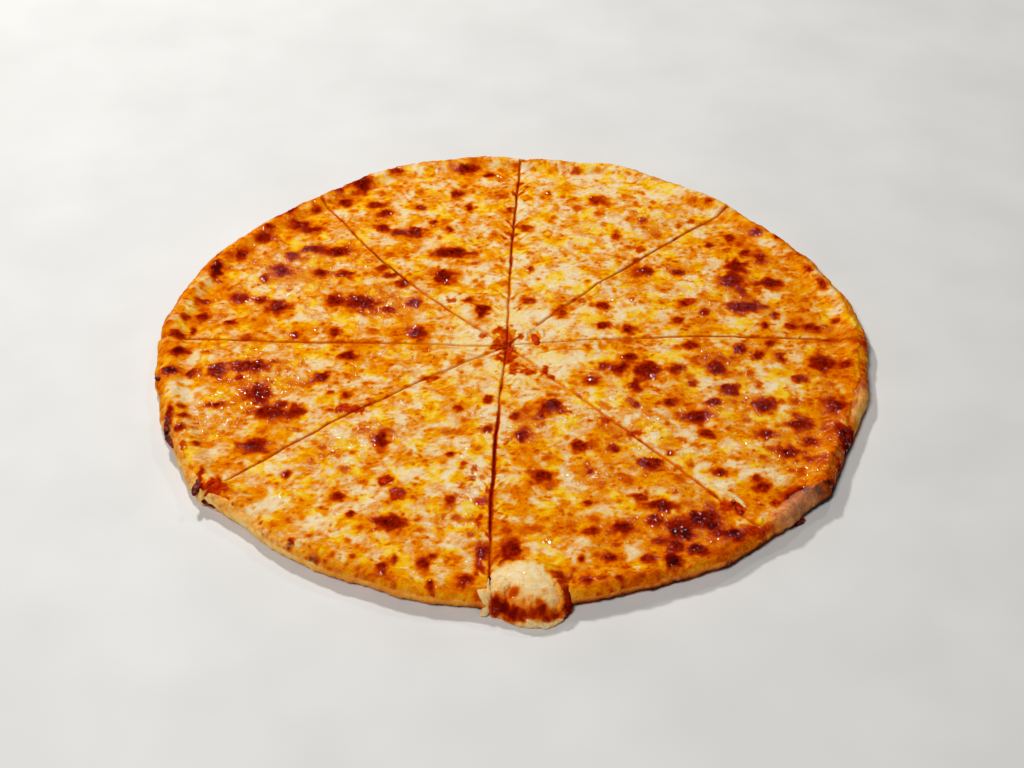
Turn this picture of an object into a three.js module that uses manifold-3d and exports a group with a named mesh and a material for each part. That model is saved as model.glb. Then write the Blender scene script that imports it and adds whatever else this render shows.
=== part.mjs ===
// A thin-crust margherita pizza, baked with melted cheese over tomato sauce and cut into eight slices.
// Every slice is three layers that show at its cuts: the crust, the sauce on it and the cheese on top.
// Units are millimetres, +Z is up, and the origin is the middle of the flat underside.
import * as THREE from "three";
import { mergeVertices } from "three/addons/utils/BufferGeometryUtils.js";
import Module from "manifold-3d";

const wasm = await Module();
wasm.setup();

// Driving dimensions
const DOUGH_THICKNESS = 4.2; // of the crust under the sauce
const RIM_CREST = 9.2; // height of the baked edge
const RIM_ROUND = 4.6; // from the outermost point of the edge in to its crest
const RIM_WIDTH = 15; // from the outermost point in to the flat dough
const RIM_MIDDLE = 4.4; // height of the outermost point
const SAUCE_THICKNESS = 0.9;
const THINNEST_SAUCE = 0.35; // at its outer end
const CHEESE_THICKNESS = 2.6;
const LAYER_GAP = 0.3; // clearance between one layer and the next
const CUT_SLACK = 0.05; // keeps a cut off the face that it follows
const KERF = 0.9; // width of a cut
const RIM_FOOT = RIM_WIDTH - RIM_ROUND; // depth from the crest in to the flat dough
const FOOT_LIFT = 0.8; // height of the underside a third of that way in
const FOOT_INSET = 9; // how far in from the edge the underside lifts off the surface
const BLISTERS = 72; // large bubbles in the cheese
const SEED = 11;

// The cuts, anticlockwise from +X: the bearing at the edge, and the bow of the middle towards the next slice.
const CUTS = [
  { bearing: 1.8, bow: 5.5 },
  { bearing: 45.6, bow: 3.3 },
  { bearing: 87.6, bow: 1.4 },
  { bearing: 127.6, bow: 8.2 },
  { bearing: 178.7, bow: 0 },
  { bearing: 219.3, bow: -5.6 },
  { bearing: 268.0, bow: -2.4 },
  { bearing: 310.6, bow: 1.2 },
];

// For each slice, from the cut of its own number to the next: the edge's distance from the hub where the
// slice starts, in its middle and where it ends, and how far its cheese tip is pulled back from the hub.
const SLICES = [
  { edge: [178.6, 177.2, 174.8], tip: 6.5 },
  { edge: [175.0, 178.2, 173.6], tip: 5.5 },
  { edge: [175.2, 178.2, 170.6], tip: 6.0 },
  { edge: [169.4, 172.8, 172.0], tip: 4.5 },
  { edge: [172.8, 171.8, 173.8], tip: 5.0 },
  { edge: [171.8, 172.6, 174.6], tip: 4.0 },
  { edge: [172.4, 173.8, 176.6], tip: 7.0 },
  { edge: [176.2, 175.6, 178.4], tip: 8.0 },
];

// Smooth bumps where the edge stands out, draws in or rises: each bump's bearing and half width in degrees.
const EDGE_BUMPS = [
  { bearing: 12, half: 9, out: 1.4, rise: 0.9 },
  { bearing: 70, half: 8, out: 1.4, rise: 0.4 },
  { bearing: 172, half: 4, out: 1.2, rise: 0.8 },
  { bearing: 195, half: 6, out: -1.8, rise: 0.9 },
  { bearing: 217, half: 4, out: 2.6, rise: 1.2 },
  { bearing: 317, half: 6, out: 1.4, rise: 2.4 },
  { bearing: 326, half: 5, out: 3.6, rise: 2.4 },
  { bearing: 340, half: 8, out: -2.0, rise: 0 },
];

// A lobe of cheese that ran over the edge where slice 7 starts: domes that reach down outside the crust. Each
// has its middle so far along the edge from that cut and so far from the hub, and its three half sizes.
const LOBE = {
  slice: 7,
  foot: 0.6, // height of its lowest face
  domes: [
    { along: 18, distance: 164, outward: 20, sideways: 20, height: 12.4 },
    { along: 5, distance: 168, outward: 10, sideways: 9, height: 9.8 },
  ],
};

const TIP_CRUST = 1.9; // distance from the hub to the tip of each slice's crust
const TIP_SAUCE = 2.6; // and to the tip of its sauce
const SAUCE_MARGIN = 2.2; // from the crest in to the end of the sauce
const CHEESE_MARGIN = 3.0; // from the crest in to the end of the cheese, on average
const THINNEST_CHEESE = 0.9; // at its outer end
const DEEPEST_DIP = 0.5; // of the cheese's top between its blisters
const BOW_REACH = 175; // distance from the hub over which a cut's bow swells and fades
const ACROSS = 11; // steps from one cut to the next, the same in every layer
const WAYPOINTS = [116, 58]; // distances from the hub where every layer follows the curve of its cuts
const CHEESE_STEPS = [4, 5, 5]; // of the cheese's top, from the rim's foot to each of those and on to its tip
const OVER_EDGE = [-4.8, -2.2]; // depths, negative outside the crest, where the skin of the edge has points
const UNDER_EDGE = [-9.6, -7.2]; // and where it turns under

const { cos, sin, abs, max, sqrt, PI, hypot } = Math;
const radians = THREE.MathUtils.degToRad;
const mix = THREE.MathUtils.lerp;
const smooth = THREE.MathUtils.smoothstep;

// A bell from 1 at the middle to 0 at its half width.
const bell = (away) => (away < 1 ? (1 + cos(PI * away)) / 2 : 0);

// The smallest angle between two bearings, in degrees.
const apart = (a, b) => abs(((a - b + 540) % 360) - 180);

// A small repeatable stream of numbers from 0 to 1.
function numbers(seed) {
  let state = seed;
  return () => {
    state = (state * 48271) % 2147483647;
    return state / 2147483647;
  };
}

// The bearing in radians that a cut has at a distance from the hub.
function cutBearing(cut, distance) {
  return radians(cut.bearing) + (cut.bow * sin((PI * distance) / BOW_REACH)) / distance;
}

// The edge of the dough at a place across a slice: its bearing, distance from the hub and crest height.
function edgeAt(slice, across) {
  const [start, middle, end] = slice.edge;
  const rounded = mix(start, end, across) + 4 * across * (1 - across) * (middle - (start + end) / 2);
  const bearing = mix(slice.from.bearing, slice.to.bearing, across);
  const ripple = 0.7 * sin(radians(bearing * 17)) + 0.5 * sin(radians(bearing * 31 + 50));
  const bumps = EDGE_BUMPS.map((b) => ({ ...b, share: bell(apart(bearing, b.bearing) / b.half) }));
  const out = bumps.reduce((sum, b) => sum + b.share * b.out, 0);
  const rise = bumps.reduce((sum, b) => sum + b.share * b.rise, 0);
  const uneven = 0.45 * sin(radians(bearing * 9 + 20)) + 0.3 * sin(radians(bearing * 23));
  return { bearing, radius: rounded + ripple + out, crest: RIM_CREST + uneven + rise };
}

// The upper skin of the crust. Depth is measured in from the crest, and is negative over the edge and down.
function skin(edge, depth) {
  const height = edge.crest - RIM_MIDDLE;
  const centre = edge.radius - RIM_ROUND;
  if (depth < 0) {
    const angle = PI / 2 + depth / ((RIM_ROUND + height) / 2);
    return new THREE.Vector2(centre + RIM_ROUND * cos(angle), RIM_MIDDLE + height * sin(angle));
  }
  const fall = smooth(depth, 0, RIM_FOOT);
  return new THREE.Vector2(centre - depth, mix(edge.crest, DOUGH_THICKNESS, fall));
}

// The point a given clearance above the skin, square to it.
function above(edge, depth, clearance) {
  const here = skin(edge, depth);
  const along = skin(edge, depth + 0.05).sub(skin(edge, depth - 0.05)).normalize();
  return new THREE.Vector2(here.x + along.y * clearance, here.y - along.x * clearance);
}

// Where a slice's own coordinates lie: across from one cut to the next, and a distance from the hub.
function place(slice, across, distance) {
  const side = slice.kerf / 2 / distance;
  const from = cutBearing(slice.from, distance) + side;
  const to = cutBearing(slice.to, distance) - side;
  const bearing = mix(from, to, across);
  return new THREE.Vector2(distance * cos(bearing), distance * sin(bearing));
}

// Triangles that fill an outline from its tip to its outer end, each between neighbours along its bottom and
// its top, so that a cut face keeps to the curve of its cut.
function zipped(outline) {
  const triangles = [];
  let [low, high] = [0, outline.length - 1];
  while (high - low > 1) {
    const alongBottom = outline[low + 1].x < outline[high - 1].x;
    triangles.push(alongBottom ? [low, low + 1, high] : [low, high - 1, high]);
    if (alongBottom) low += 1;
    else high -= 1;
  }
  return triangles;
}

// A solid through one closed outline of [distance, height] points for each station across a slice. Outlines
// run from the tip out along the bottom, and back along the top.
function loft(slice, outlines) {
  const positions = [];
  const faces = [];
  const count = outlines[0].length;
  outlines.forEach((outline, station) => {
    const across = station / (outlines.length - 1);
    for (const { x: distance, y: height } of outline) {
      const at = place(slice, across, distance);
      positions.push(at.x, at.y, height);
    }
  });
  for (let s = 0; s + 1 < outlines.length; s++) {
    for (let k = 0; k < count; k++) {
      const next = (k + 1) % count;
      const [a, b] = [s * count + k, s * count + next];
      const [c, d] = [a + count, b + count];
      faces.push(a, d, b, a, c, d);
    }
  }
  const last = (outlines.length - 1) * count;
  for (const [a, b, c] of zipped(outlines[0])) faces.push(a, b, c);
  for (const [a, b, c] of zipped(outlines.at(-1))) faces.push(last + c, last + b, last + a);
  const geometry = new THREE.BufferGeometry();
  geometry.setAttribute("position", new THREE.Float32BufferAttribute(positions, 3));
  geometry.setIndex(faces);
  geometry.computeVertexNormals();
  return geometry;
}

// One outline for each station across a slice, from that place of its edge.
function stations(slice, outlineAt) {
  return spread(0, 1, ACROSS).map((across) => outlineAt(edgeAt(slice, across), across));
}

// Distances from near to far in equal steps, both ends included.
function spread(near, far, steps) {
  return Array.from({ length: steps + 1 }, (_, k) => mix(near, far, k / steps));
}

// The depths at one place of the edge that lie at the given distances from the hub.
const depthsOf = (edge, distances) => distances.map((distance) => edge.radius - RIM_ROUND - distance);

// A solid from an underside of its own up to a given cover over the crust's skin, which it follows from the
// given depths outside the crest inwards.
function slab(slice, undersideAt, outside, coverAt) {
  return loft(slice, stations(slice, (edge) => {
    const underside = [[TIP_CRUST, 0], [WAYPOINTS[1], 0], [WAYPOINTS[0], 0], ...undersideAt(edge)];
    const depths = [...outside, ...spread(0, RIM_FOOT, 6), ...depthsOf(edge, [...WAYPOINTS, TIP_CRUST])];
    return [
      ...underside.map(([distance, height]) => new THREE.Vector2(distance, height)),
      ...depths.map((depth) => above(edge, depth, coverAt(depth))),
    ];
  }));
}

// The crust of one slice: a flat underside that lifts near the edge, and a rounded outside.
function crust(slice) {
  const underside = (edge) => [[edge.radius - FOOT_INSET, 0], [edge.radius - FOOT_INSET / 3, FOOT_LIFT]];
  return slab(slice, underside, [...UNDER_EDGE, ...OVER_EDGE], () => 0);
}

// How thick the sauce is at a depth in from the crest: it thins towards its outer end.
function sauceAt(depth) {
  return max(THINNEST_SAUCE, SAUCE_THICKNESS * smooth(depth, SAUCE_MARGIN - 2.5, SAUCE_MARGIN + 5));
}

// The height over the skin at which the cheese starts, clear of the sauce.
const coverUnderCheese = (depth) => LAYER_GAP + sauceAt(depth) + LAYER_GAP;

// The sauce of one slice, which lies on the crust and shows at the cuts and beyond the cheese.
function sauce(slice) {
  return loft(slice, stations(slice, (edge) => {
    const end = SAUCE_MARGIN + 0.9 * sin(radians(edge.bearing * 13));
    const depths = [...spread(end, RIM_FOOT, 5), ...depthsOf(edge, [...WAYPOINTS, TIP_SAUCE])];
    const bottom = depths.map((depth) => above(edge, depth, LAYER_GAP));
    const top = depths.map((depth) => above(edge, depth, LAYER_GAP + sauceAt(depth)));
    return [...bottom.reverse(), ...top];
  }));
}

// The bubbles that rise in the baked cheese: their places from the hub, radii and heights.
function makeBlisters() {
  const next = numbers(SEED);
  return Array.from({ length: BLISTERS }, (_, k) => {
    const distance = 22 + 140 * sqrt((k + 0.5) / BLISTERS);
    const bearing = k * 2.39996 + 0.5 * next();
    return {
      x: distance * cos(bearing),
      y: distance * sin(bearing),
      radius: 7 + 5 * next(),
      height: 0.6 + 0.9 * next(),
    };
  });
}
const blisters = makeBlisters();

// The height of the cheese over its even thickness: long waves, and the largest blister at the place.
function relief(at) {
  const waves = 0.3 * sin(at.x / 13) * cos(at.y / 11) + 0.2 * sin((at.x + at.y) / 7.3);
  const rises = blisters.map((b) => b.height * bell(hypot(at.x - b.x, at.y - b.y) / b.radius));
  return waves + max(...rises);
}

// A closed geometry as a solid that can be cut, and back again.
function solidOf(geometry) {
  const bare = geometry.clone().deleteAttribute("normal").deleteAttribute("uv");
  const merged = mergeVertices(bare, 1e-4);
  const vertProperties = merged.attributes.position.array;
  const triVerts = new Uint32Array(merged.index.array);
  return new wasm.Manifold(new wasm.Mesh({ numProp: 3, vertProperties, triVerts }));
}
function geometryOf(solid) {
  const { vertProperties, triVerts } = solid.getMesh();
  const geometry = new THREE.BufferGeometry();
  geometry.setAttribute("position", new THREE.BufferAttribute(vertProperties, 3));
  geometry.setIndex(new THREE.BufferAttribute(triVerts, 1));
  geometry.computeVertexNormals();
  return geometry;
}

// The lobe of one slice, between its cuts and above its lowest face.
function lobe(slice) {
  const domes = LOBE.domes.map((d) => {
    const bearing = cutBearing(slice.from, d.distance) + d.along / d.distance;
    return solidOf(new THREE.SphereGeometry(1, 18, 12)
      .rotateX(PI / 2)
      .scale(d.outward, d.sideways, d.height)
      .rotateZ(bearing)
      .translate(d.distance * cos(bearing), d.distance * sin(bearing), 0));
  });
  const [near, far, high] = [120, 200, 30];
  const corners = [[near, LOBE.foot], [far, LOBE.foot], [far, high], [near, high]];
  const column = loft(slice, stations(slice, () => corners.map(([x, y]) => new THREE.Vector2(x, y))));
  return domes.reduce((joined, dome) => joined.add(dome)).intersect(solidOf(column));
}

// All that lies below the cheese, a little wider than one slice: the sauce, and the crust, which is carried
// straight down outside.
function belowCheese(slice) {
  const coverAt = (depth) => coverUnderCheese(depth) - CUT_SLACK;
  const outermost = (edge) => edge.radius + coverAt(0);
  const underside = (edge) => [[outermost(edge), 0], [outermost(edge), RIM_MIDDLE]];
  return solidOf(slab({ ...slice, kerf: -KERF }, underside, OVER_EDGE, coverAt));
}

// The cheese of one slice: it follows the sauce up the inside of the rim, and ends in a thin ragged edge.
function cheese(slice) {
  const layer = loft(slice, stations(slice, (edge, across) => {
    const ragged = 1.3 * sin(radians(edge.bearing * 11)) + 0.9 * sin(radians(edge.bearing * 26 + 40));
    const end = CHEESE_MARGIN + ragged;
    const overRim = spread(end, RIM_FOOT, 6);
    const marks = depthsOf(edge, [...WAYPOINTS, slice.tip]);
    const topOf = (depth) => {
      const fromEnd = depth - end;
      const body = mix(THINNEST_CHEESE, CHEESE_THICKNESS, smooth(fromEnd, 0, 9));
      const bumps = relief(place(slice, across, skin(edge, depth).x)) * smooth(fromEnd, 0, 6);
      return above(edge, depth, coverUnderCheese(depth) + body + max(bumps, -DEEPEST_DIP));
    };
    const stretch = (k) => spread(marks[k - 1] ?? RIM_FOOT, marks[k], CHEESE_STEPS[k]).slice(1);
    const inward = marks.flatMap((mark, k) => stretch(k));
    const bottom = [...overRim, ...marks].map((depth) => above(edge, depth, coverUnderCheese(depth)));
    const top = [...overRim, ...inward].map(topOf);
    return [...bottom.reverse(), ...top];
  }));
  if (slice.number !== LOBE.slice) return layer;
  return geometryOf(solidOf(layer).add(lobe(slice).subtract(belowCheese(slice))));
}

const crustFinish = new THREE.MeshStandardMaterial({ color: 0xd99a4e, roughness: 0.75, metalness: 0 });
const sauceFinish = new THREE.MeshStandardMaterial({ color: 0xb5320f, roughness: 0.4, metalness: 0 });
const cheeseFinish = new THREE.MeshStandardMaterial({ color: 0xeda63f, roughness: 0.35, metalness: 0 });

const pizza = new THREE.Group();
SLICES.forEach((given, index) => {
  const next = CUTS[(index + 1) % CUTS.length];
  const wrapped = index + 1 < CUTS.length ? next : { ...next, bearing: next.bearing + 360 };
  const slice = { ...given, number: index + 1, kerf: KERF, from: CUTS[index], to: wrapped };
  const layers = { crust: [crust, crustFinish], sauce: [sauce, sauceFinish], cheese: [cheese, cheeseFinish] };
  for (const [layer, [shape, finish]] of Object.entries(layers)) {
    const mesh = new THREE.Mesh(shape(slice), finish);
    mesh.name = `${layer}_${slice.number}`;
    pizza.add(mesh);
  }
});

// The hub of the cuts is a little off the middle: the whole is moved so that its middle is at the origin.
const extent = new THREE.Box3().setFromObject(pizza);
const middle = extent.getCenter(new THREE.Vector3());
pizza.position.set(-middle.x, -middle.y, -extent.min.z);

export default pizza;
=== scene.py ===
"""A baked margherita pizza, cut into eight slices that still lie together.

The crusts and cheeses are remeshed from the frame's solids, and the sauces are subdivided. All are sculpted:
blisters, curds, grooves at the cuts and a bumpy rim. What is browned, creamy, red or wet is worked out once
over the plan of the whole pizza, and every crust and cheese reads it there. The plan is in millimetres, and
meshes are in metres.
"""
import math

import bpy
import numpy as np
from mathutils import Matrix, Vector
from mathutils.bvhtree import BVHTree


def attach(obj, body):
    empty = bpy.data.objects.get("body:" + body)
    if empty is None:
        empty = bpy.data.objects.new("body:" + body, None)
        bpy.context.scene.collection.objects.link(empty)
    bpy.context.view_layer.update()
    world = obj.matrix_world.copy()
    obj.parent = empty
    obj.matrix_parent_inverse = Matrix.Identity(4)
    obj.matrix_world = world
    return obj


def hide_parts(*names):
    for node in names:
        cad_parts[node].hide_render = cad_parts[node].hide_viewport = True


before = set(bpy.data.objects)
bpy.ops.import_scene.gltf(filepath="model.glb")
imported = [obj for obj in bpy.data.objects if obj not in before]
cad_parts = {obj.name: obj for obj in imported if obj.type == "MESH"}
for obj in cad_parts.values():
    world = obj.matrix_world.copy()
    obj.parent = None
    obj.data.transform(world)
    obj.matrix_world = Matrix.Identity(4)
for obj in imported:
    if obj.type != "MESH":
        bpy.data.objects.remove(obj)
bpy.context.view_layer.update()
MM = 0.001

# ---------------------------------------------------------------- sizes, in millimetres
HUB = (-3.139, 2.999)  # where the cuts meet
KERF = 0.9  # width of a cut in the solids
# How far in from the outermost point the cheese ends, by bearing.
BARE_RIM = [(0, 3), (45, 3), (88, 2.5), (128, 3), (150, 2), (219, 2), (235, 3.5), (266, 4), (290, 5.5),
            (305, 5), (311, 3), (314, 8), (324, 8.5), (327, 2.5), (339, 2.5), (342, 5), (348, 4.5), (352, 3),
            (360, 3)]
# How brown the bare rim is, by bearing.
RIM_BROWN = [(0, 0.5), (45, 0.62), (88, 0.6), (128, 0.5), (150, 0.36), (219, 0.26), (232, 0.24), (245, 0.40),
             (262, 0.46), (272, 0.54), (300, 0.54), (308, 0.62), (314, 0.56), (320, 0.6), (323, 0.76),
             (326, 0.86), (330, 0.8), (338, 0.62), (342, 0.38), (348, 0.38), (353, 0.5), (360, 0.5)]
# How dry and pale its dough looks, by bearing.
RIM_DRY = [(0, 0), (312, 0), (315, 0.2), (321, 0.2), (324, 0), (340, 0), (343, 0.14), (348, 0.14), (352, 0),
           (360, 0)]
# How much darker the foot of the rim is, by bearing: partly the browned lower edge of the dough, partly
# painted shade on the lower wall.
RIM_FOOT_SHADE_AND_BROWN = [(0, 0.1), (45, 0.1), (90, 0), (215, 0), (240, 0.05), (262, 0.14), (272, 0.30), (285, 0.42),
            (328, 0.42), (340, 0.15), (360, 0.1)]
# How much of the rim browned cheese covers, by bearing.
RIM_COVER = [(0, 0.95), (45, 0.95), (128, 1), (190, 0.9), (205, 0.5), (222, 0.4), (240, 0.6), (268, 0.8),
             (288, 0.8), (300, 0.6), (308, 0.95), (312, 0.5), (314, 0.2), (325, 0.2), (327, 1), (338, 1),
             (342, 0.25), (348, 0.35), (352, 0.95), (360, 0.95)]
# The lobe of cheese over the edge: for each dome its middle past the front cut and from the hub, its half
# width, its height, and how far it must stand over the crust to count.
LOBE_DOMES = [(18, 164, 20, 12.4, 1.2), (5, 168, 9.5, 9.8, -0.9)]
CHEESE_TOP = 8.3  # usual height of the cheese
BOW_REACH = 175  # distance from the hub over which a cut's bow swells and fades
CUTS = [(1.8, 5.5), (45.6, 3.3), (87.6, 1.4), (127.6, 8.2),  # bearing in degrees, and bow
        (178.7, 0.0), (219.3, -5.6), (268.0, -2.4), (310.6, 1.2)]
SLICES = range(1, 9)
FRONT_CUT = 7  # number of the slice that starts at the cut towards the viewer
DRAWN_CUTS = (3, FRONT_CUT)  # the cuts beside which the knife drew the cheese out most
# Where the front cut opens and closes, and where the sauce in it ends, in distance from the hub.
GAPES_FROM, GAPES_TO, SAUCY_TO = (42, 62), (118, 135), (120, 140)

TIP_REACH = [4.0, 3.5, 3.0, 3.5, 3.0, 1.0, 2.0, 4.5]  # how far each cheese tip ran in towards the hub

NOISE_CELLS = 128  # lumps after which the noise repeats
GRAIN = 0.4  # cell of the plan fields
SPAN = 192.0  # half their width
HEIGHT_CELL = 1.2  # cell of the crust's height field
CHEESE_VOXEL, CRUST_VOXEL, BIT_VOXEL = 0.6, 0.9, 0.3  # width of the faces of cheese, crust and small bits
BALLS_PER_STOP = 6  # how closely balls are strung to make a bit
SAUCE_SPLITS = 3  # new points along each edge of the sauce
WALL_REACH = 3.0  # how far from a cut its walls are drawn in
SHUT = 0.03  # half the gap left of a cut where it has closed
SPOT_REACH = 178  # how far from the hub the small spots are strewn
BEAD_HEIGHT = 0.95  # relief of the beads of oil

# ---------------------------------------------------------------- the camera
FRAME_WIDTH, FRAME_HEIGHT = 1024, 768
SENSOR_WIDTH, LENS = 36.0, 63.633
EYE = np.array([-0.562, -703.339, 551.614])
PITCH, ROLL = math.radians(38.788), math.radians(0.3615)
PIXELS = LENS / SENSOR_WIDTH * FRAME_WIDTH  # focal length in pixels
TILT = Matrix.Rotation(math.pi / 2 - PITCH, 3, "X") @ Matrix.Rotation(ROLL, 3, "Z")
RIGHT, UP, FORWARD = (np.array(TILT @ Vector(axis)) for axis in ((1, 0, 0), (0, 1, 0), (0, 0, -1)))

# ---------------------------------------------------------------- what the oven left, by place in the frame
# Browned blisters of each slice: column, row, width and height in the camera's 1024 x 768 frame.
BLISTERS = {
    1: [(735, 266, 20, 13), (732, 281, 20, 15), (742, 290, 8, 8), (745, 253, 10, 8), (760, 258, 10, 10),
        (770, 283, 26, 8), (645, 271, 18, 8), (678, 272, 14, 6), (745, 307, 40, 9), (704, 312, 10, 6),
        (683, 303, 9, 6), (678, 320, 12, 8),
        (603, 325, 14, 8), (627, 329, 12, 9), (604, 305, 12, 7), (690, 345, 14, 7), (765, 325, 10, 7),
        (775, 315, 10, 7), (709, 245, 10, 5), (730, 238, 8, 7), (790, 326, 12, 6), (813, 327, 20, 7),
        (822, 285, 8, 9), (808, 268, 7, 6), (776, 238, 8, 6), (755, 233, 12, 6), (835, 322, 7, 5)],
    2: [(530, 301, 12, 5), (525, 228, 12, 7), (548, 193, 7, 6), (560, 312, 14, 12), (576, 172, 8, 5),
        (597, 200, 16, 8), (617, 236, 10, 5), (708, 201, 8, 5), (678, 226, 6, 5), (530, 269, 8, 6),
        (636, 262, 8, 6), (642, 219, 6, 5)],
    3: [(362, 183, 18, 16), (396, 172, 10, 6), (377, 205, 16, 6), (385, 213, 14, 7), (383, 228, 12, 7),
        (398, 232, 12, 6), (415, 232, 20, 8), (433, 222, 8, 5), (457, 194, 12, 8), (465, 170, 24, 6),
        (470, 208, 9, 8), (450, 230, 8, 6), (450, 252, 40, 8), (443, 277, 20, 14), (482, 310, 14, 14),
        (510, 209, 6, 5), (339, 191, 11, 7), (345, 203, 14, 8), (420, 208, 10, 6), (490, 175, 14, 4),
        (468, 300, 10, 6)],
    4: [(362, 303, 30, 14), (335, 300, 16, 9), (296, 336, 9, 7), (417, 333, 16, 12), (335, 332, 12, 9),
        (415, 303, 14, 8), (388, 309, 12, 6), (402, 283, 14, 6), (390, 275, 14, 6), (382, 268, 10, 6),
        (278, 307, 20, 11), (260, 300, 12, 6), (281, 270, 16, 12), (264, 278, 10, 7), (321, 273, 16, 8),
        (345, 274, 16, 6), (337, 252, 24, 9), (313, 249, 22, 7), (292, 256, 12, 8), (264, 238, 14, 8),
        (300, 225, 16, 7), (312, 230, 22, 6), (289, 211, 16, 8), (270, 228, 10, 6), (203, 317, 12, 10),
        (217, 270, 11, 16), (242, 255, 10, 10), (240, 298, 16, 6), (186, 318, 9, 6), (193, 331, 8, 8),
        (177, 335, 13, 8), (230, 322, 12, 6), (316, 211, 8, 6), (204, 303, 12, 5)],
    5: [(179, 353, 16, 8), (170, 370, 18, 9), (190, 373, 12, 9), (217, 370, 18, 14), (250, 366, 42, 10),
        (260, 394, 24, 18), (270, 412, 34, 12), (296, 411, 16, 12), (254, 446, 26, 14), (183, 416, 12, 6),
        (182, 407, 8, 5), (180, 430, 12, 7), (322, 376, 18, 9), (345, 395, 9, 6), (330, 392, 8, 5),
        (348, 355, 18, 8), (215, 404, 20, 6), (280, 404, 12, 6), (240, 377, 8, 5), (197, 445, 8, 5),
        (169, 414, 8, 14), (168, 428, 7, 14), (166, 440, 11, 8), (201, 474, 6, 12), (199, 489, 7, 14),
        (207, 504, 14, 6)],
    6: [(488, 429, 10, 9), (488, 399, 9, 7), (458, 408, 9, 6), (451, 454, 9, 6), (338, 497, 14, 8),
        (390, 523, 30, 14), (380, 440, 14, 16), (398, 493, 14, 10), (385, 480, 14, 10), (466, 582, 16, 14),
        (422, 564, 14, 12), (382, 565, 12, 10), (394, 560, 8, 10), (431, 585, 8, 8), (315, 562, 9, 6),
        (290, 544, 10, 8), (261, 542, 10, 9), (352, 556, 7, 5), (481, 552, 14, 15), (286, 474, 8, 7),
        (450, 500, 9, 8), (350, 514, 9, 7), (432, 556, 9, 6)],
    7: [(551, 405, 22, 14), (540, 415, 8, 8), (521, 436, 12, 14), (580, 445, 16, 10), (614, 448, 12, 8),
        (543, 476, 20, 12), (590, 472, 7, 6), (650, 463, 26, 12), (670, 453, 10, 5), (640, 497, 14, 8),
        (662, 505, 34, 10), (510, 549, 18, 20), (591, 531, 14, 9), (622, 527, 22, 12), (610, 557, 14, 10),
        (648, 558, 14, 9), (672, 560, 12, 14), (587, 580, 9, 9), (541, 567, 9, 6), (558, 575, 10, 10),
        (582, 558, 7, 7), (515, 416, 8, 6), (698, 547, 12, 8), (620, 577, 8, 5), (588, 503, 9, 6),
        (682, 528, 28, 18), (706, 519, 26, 17), (675, 546, 18, 12), (697, 549, 22, 9), (722, 534, 18, 8),
        (737, 536, 14, 9), (655, 520, 16, 10), (660, 541, 14, 7)],
    8: [(647, 370, 24, 18), (618, 368, 18, 10), (630, 357, 16, 9), (603, 365, 9, 8), (592, 380, 14, 9),
        (677, 368, 14, 10), (635, 385, 12, 12), (717, 368, 18, 14), (740, 349, 12, 10), (730, 390, 16, 12),
        (693, 383, 12, 6), (712, 402, 16, 7), (697, 417, 30, 12), (707, 433, 16, 8), (763, 405, 24, 12),
        (758, 355, 14, 8), (781, 357, 10, 8), (798, 378, 14, 9), (822, 363, 24, 16), (846, 365, 12, 7),
        (836, 405, 20, 12), (800, 423, 24, 12), (843, 434, 14, 20), (766, 434, 18, 8), (810, 442, 14, 9),
        (790, 452, 22, 10), (808, 459, 9, 6), (757, 478, 9, 7), (762, 487, 16, 9), (721, 472, 18, 8),
        (790, 492, 14, 10), (803, 487, 12, 8), (669, 402, 14, 6), (770, 343, 10, 6), (635, 405, 10, 6),
        (848, 450, 9, 16), (842, 470, 8, 14), (837, 483, 12, 7), (852, 435, 9, 9), (776, 500, 10, 6)],
}
MILD_SLICE, MILD = 2, 0.8  # the slice that browned least, and the share of its blisters' browning
# The blackest places.
CHARRED = [(675, 532, 8, 7), (686, 535, 9, 8), (697, 517, 12, 10), (712, 526, 11, 9), (696, 547, 8, 6),
           (733, 535, 12, 8), (675, 560, 9, 10), (217, 268, 6, 10), (179, 352, 9, 5), (170, 370, 9, 5),
           (733, 502, 5, 5), (738, 508, 5, 6), (742, 513, 4, 4)]
# Places where sauce shows through the cheese.
RED_SPOTS = [(184, 447, 8, 10), (215, 488, 20, 18), (350, 408, 26, 9), (398, 493, 14, 10), (385, 480, 12, 9),
             (506, 338, 20, 20), (507, 353, 18, 22), (497, 346, 10, 12), (727, 505, 8, 12), (764, 530, 22, 6),
             (474, 469, 7, 10), (472, 480, 8, 9), (481, 502, 12, 6), (488, 490, 5, 10), (464, 463, 8, 4),
             (757, 532, 30, 8), (505, 342, 15, 20), (508, 358, 13, 14), (500, 330, 9, 10), (452, 300, 12, 6),
             (640, 250, 12, 6), (690, 300, 12, 6), (480, 520, 6, 12), (513, 372, 8, 8), (606, 420, 7, 6),
             (483, 336, 9, 6), (514, 366, 15, 5), (530, 372, 16, 6), (545, 370, 8, 9), (550, 377, 8, 5),
             (521, 337, 6, 6), (498, 357, 9, 7), (565, 412, 12, 4), (636, 433, 16, 5), (350, 410, 40, 5),
             (430, 378, 16, 5), (740, 508, 8, 10)]
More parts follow.
